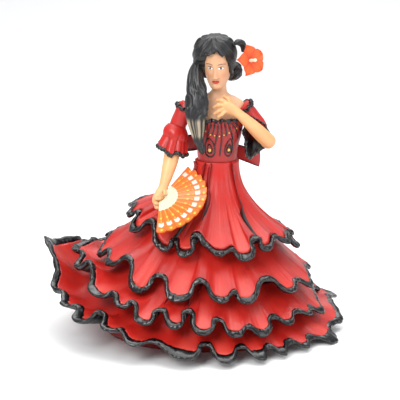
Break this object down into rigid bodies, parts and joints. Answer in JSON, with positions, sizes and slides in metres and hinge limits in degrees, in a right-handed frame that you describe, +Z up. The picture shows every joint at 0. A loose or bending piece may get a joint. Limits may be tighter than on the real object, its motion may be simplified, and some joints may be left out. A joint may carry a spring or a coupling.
{
  "type": "souvenir dancer figurine",
  "caption": "Moulded plastic figurine of a dancer in a red flounced dress with black borders, a hand fan, a flower in long dark hair, and a flat closed base to stand on a shelf.",
  "frame": {"origin": "middle of the resting plane, straight below the waist", "axes": "+Z up, the dancer faces -Y, +X is to the viewer's right when the dancer is seen from the front"},
  "size_m": [0.1028, 0.09, 0.1001],
  "materials": {
    "red_paint": "satin moulded plastic, painted red",
    "bodice_red": "satin darker red paint",
    "black_paint": "glossy black paint",
    "skin_paint": "satin skin-coloured plastic",
    "hair_paint": "black with dry-brushed grey strands",
    "flower_paint": "matt orange paint",
    "cream_paint": "matt cream paint",
    "fan_paint": "satin orange with gold and white",
    "gold_paint": "gold paint",
    "base_plastic": "unpainted red plastic"
  },
  "bodies": {
    "root": {"base_plate": "base_plastic", "bodice": "bodice_red", "bodice_piping": "black_paint", "bodice_studs": "gold_paint", "bow_knot": "black_paint", "crown_curl": "hair_paint", "fan_leaf": "fan_paint", "fan_sticks": "cream_paint", "flower_petals": "flower_paint", "flower_stamen": "cream_paint", "hair_cap": "hair_paint", "head": "skin_paint", "hem_flounce": "red_paint", "hem_flounce_border": "black_paint", "left_bow_loop": "red_paint", "left_forearm": "skin_paint", "left_shoulder_frill": "black_paint", "left_sleeve": "red_paint", "left_sleeve_border": "black_paint", "left_sleeve_ruffle": "red_paint", "nape_hair": "hair_paint", "neckline_ruffle": "black_paint", "overskirt": "red_paint", "overskirt_border": "black_paint", "right_bow_loop": "red_paint", "right_forearm": "skin_paint", "right_shoulder_frill": "black_paint", "right_sleeve": "red_paint", "right_sleeve_border": "black_paint", "right_sleeve_ruffle": "red_paint", "second_flounce": "red_paint", "second_flounce_border": "black_paint", "side_lock": "hair_paint", "skirt_core": "red_paint", "third_flounce": "red_paint", "third_flounce_border": "black_paint", "torso": "skin_paint"}
  },
  "joints": []
}
